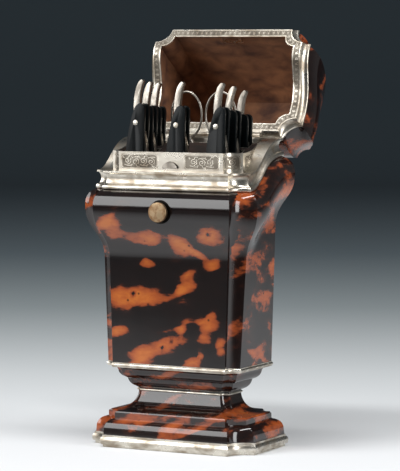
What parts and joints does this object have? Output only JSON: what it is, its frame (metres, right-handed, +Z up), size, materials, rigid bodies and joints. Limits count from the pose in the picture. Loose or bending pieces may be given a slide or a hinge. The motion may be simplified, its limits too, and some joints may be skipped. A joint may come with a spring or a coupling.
{
  "type": "standing razor case",
  "caption": "Standing razor case on a pedestal foot, with notched corners, a swelling shoulder and a hinged domed lid over razors and scissors.",
  "frame": {"origin": "middle of the foot's underside", "axes": "+Z up, the button and the front face -Y, the lid hinges at +Y"},
  "size_m": [0.1132, 0.1399, 0.2452],
  "materials": {
    "carcase wood": "plain seasoned hardwood",
    "tortoiseshell": "polished mottled tortoiseshell over a warm ground",
    "silver": "engraved silver, softly polished",
    "baize": "green wool baize",
    "tray wood": "waxed dark wood",
    "lining leather": "thin faded leather",
    "brass": "plain brass",
    "spring steel": "blued and worn",
    "scale shell": "polished tortoiseshell",
    "blade steel": "polished steel, lightly stained"
  },
  "bodies": {
    "case": {"foot_core": "carcase wood", "foot_baize": "baize", "foot_plinth_mount": "silver", "foot_ovolo_veneer": "tortoiseshell", "foot_scotia_veneer": "tortoiseshell", "neck_band": "silver", "tier_veneers": "tortoiseshell", "waist_band": "silver", "body_carcase": "carcase wood", "corner_veneers": "tortoiseshell", "front_veneer": "tortoiseshell", "back_veneer": "tortoiseshell", "left_veneer": "tortoiseshell", "right_veneer": "tortoiseshell", "rim_moulding": "silver", "collar": "silver", "tray": "tray wood", "slot_stringing": "silver", "cavity_lining": "lining leather", "floor_pad": "lining leather", "lower_rack": "tray wood", "button_bush": "brass", "catch_spring_foot": "brass", "hinge_body_leaf": "silver", "hinge_pin": "silver"},
    "lid": {"lid_carcase": "carcase wood", "lid_lining": "lining leather", "lid_rim_frame": "silver", "lid_moulding": "silver", "lid_wall_veneers": "tortoiseshell", "lid_corner_veneers": "tortoiseshell", "lid_top_veneer": "tortoiseshell", "lid_keeper": "silver", "hinge_lid_leaf": "silver"},
    "button": {"button": "silver"},
    "catch": {"catch_spring": "spring steel"},
    "razor_front_left": {"razor_front_left_scales": "scale shell", "razor_front_left_blade": "blade steel", "razor_front_left_pins": "silver"},
    "razor_middle_left": {"razor_middle_left_scales": "scale shell", "razor_middle_left_blade": "blade steel", "razor_middle_left_pins": "silver"},
    "razor_rear_left": {"razor_rear_left_scales": "scale shell", "razor_rear_left_blade": "blade steel", "razor_rear_left_pins": "silver"},
    "razor_front_centre": {"razor_front_centre_scales": "scale shell", "razor_front_centre_blade": "blade steel", "razor_front_centre_pins": "silver"},
    "razor_front_right": {"razor_front_right_scales": "scale shell", "razor_front_right_blade": "blade steel", "razor_front_right_pins": "silver"},
    "razor_middle_right": {"razor_middle_right_scales": "scale shell", "razor_middle_right_blade": "blade steel", "razor_middle_right_pins": "silver"},
    "razor_rear_right": {"razor_rear_right_scales": "scale shell", "razor_rear_right_blade": "blade steel", "razor_rear_right_pins": "silver"},
    "scissors": {"scissors_left_half": "blade steel", "scissors_right_half": "blade steel", "scissors_screw": "blade steel"}
  },
  "joints": [
    {"name": "lid_hinge", "type": "hinge", "parent": "case", "child": "lid", "pos_m": [0, 0.0334, 0.1824], "axis": [-1, 0, 0], "range_deg": [-126, 0]},
    {"name": "button_press", "type": "slide", "parent": "case", "child": "button", "axis": [0, 1, 0], "range_m": [0, 0.0012], "stiffness_N_per_m": 300, "springref_m": -0.001},
    {"name": "catch_swing", "type": "hinge", "parent": "case", "child": "catch", "pos_m": [0, -0.0228, 0.104], "axis": [-1, 0, 0], "range_deg": [0, 2]},
    {"name": "razor_front_left_lift", "type": "slide", "parent": "case", "child": "razor_front_left", "axis": [0, 0, 1], "range_m": [0, 0.15]},
    {"name": "razor_middle_left_lift", "type": "slide", "parent": "case", "child": "razor_middle_left", "axis": [0, 0, 1], "range_m": [0, 0.15]},
    {"name": "razor_rear_left_lift", "type": "slide", "parent": "case", "child": "razor_rear_left", "axis": [0, 0, 1], "range_m": [0, 0.15]},
    {"name": "razor_front_centre_lift", "type": "slide", "parent": "case", "child": "razor_front_centre", "axis": [0, 0, 1], "range_m": [0, 0.15]},
    {"name": "razor_front_right_lift", "type": "slide", "parent": "case", "child": "razor_front_right", "axis": [0, 0, 1], "range_m": [0, 0.15]},
    {"name": "razor_middle_right_lift", "type": "slide", "parent": "case", "child": "razor_middle_right", "axis": [0, 0, 1], "range_m": [0, 0.15]},
    {"name": "razor_rear_right_lift", "type": "slide", "parent": "case", "child": "razor_rear_right", "axis": [0, 0, 1], "range_m": [0, 0.15]},
    {"name": "scissors_lift", "type": "slide", "parent": "case", "child": "scissors", "axis": [0, 0, 1], "range_m": [0, 0.115]}
  ],
  "couplings": [
    {"joint": "catch_swing", "follows": "button_press", "rad_per_m": 27.778}
  ]
}
